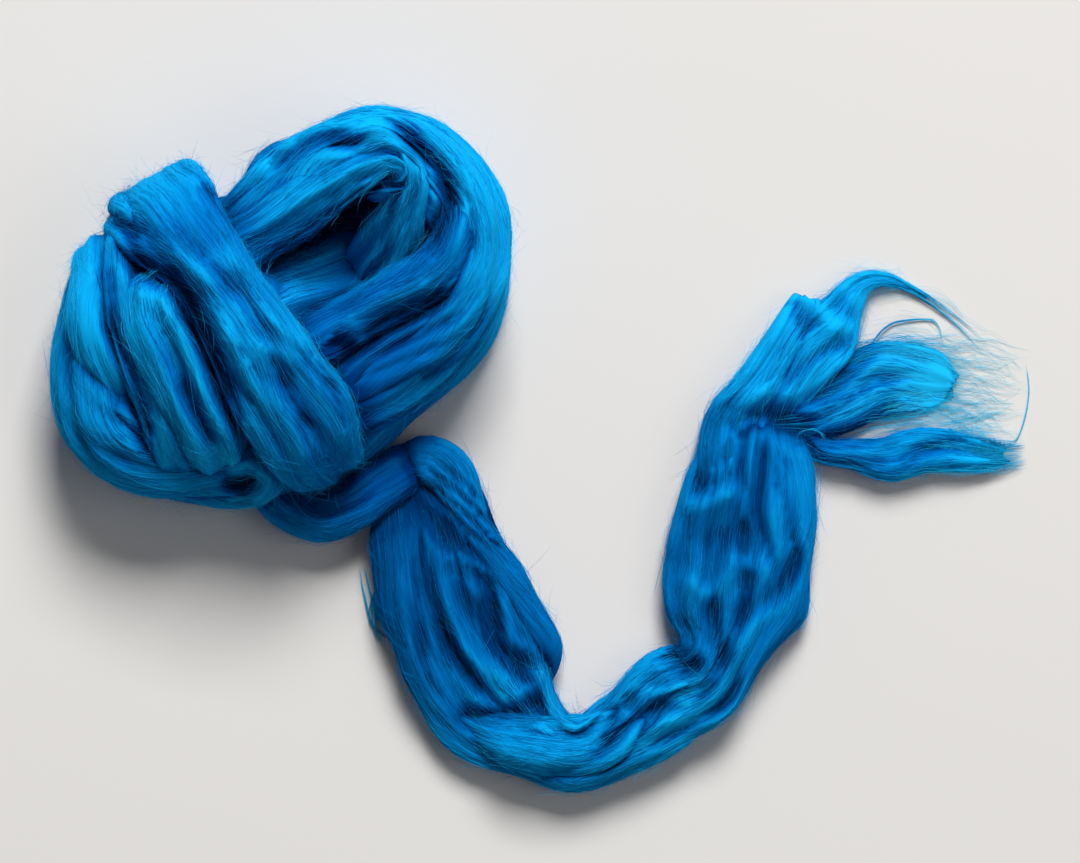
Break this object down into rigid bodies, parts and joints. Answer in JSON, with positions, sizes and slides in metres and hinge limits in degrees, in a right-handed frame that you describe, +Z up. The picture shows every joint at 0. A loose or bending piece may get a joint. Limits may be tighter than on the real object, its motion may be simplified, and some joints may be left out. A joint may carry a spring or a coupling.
{
  "type": "cotton roving hank",
  "caption": "Loose hank of dyed cotton roving wound into a two-lobed ball, with a crumpled tail that bends in a V and frays out into fine locks, for spinning, felting or trimming.",
  "frame": {"origin": "middle of the outline, on the table that it lies on", "axes": "+X along its longest extent, from the ball to the frayed end; +Y from the bend of the tail to the ball; +Z up from the table"},
  "size_m": [0.2932, 0.2039, 0.0658],
  "materials": {
    "roving": "silky combed fibre",
    "frayed_roving": "thin, wispy combed fibre"
  },
  "bodies": {
    "root": {"wound_ball": "roving", "loose_tail": "roving", "frayed_end": "frayed_roving"}
  },
  "joints": []
}
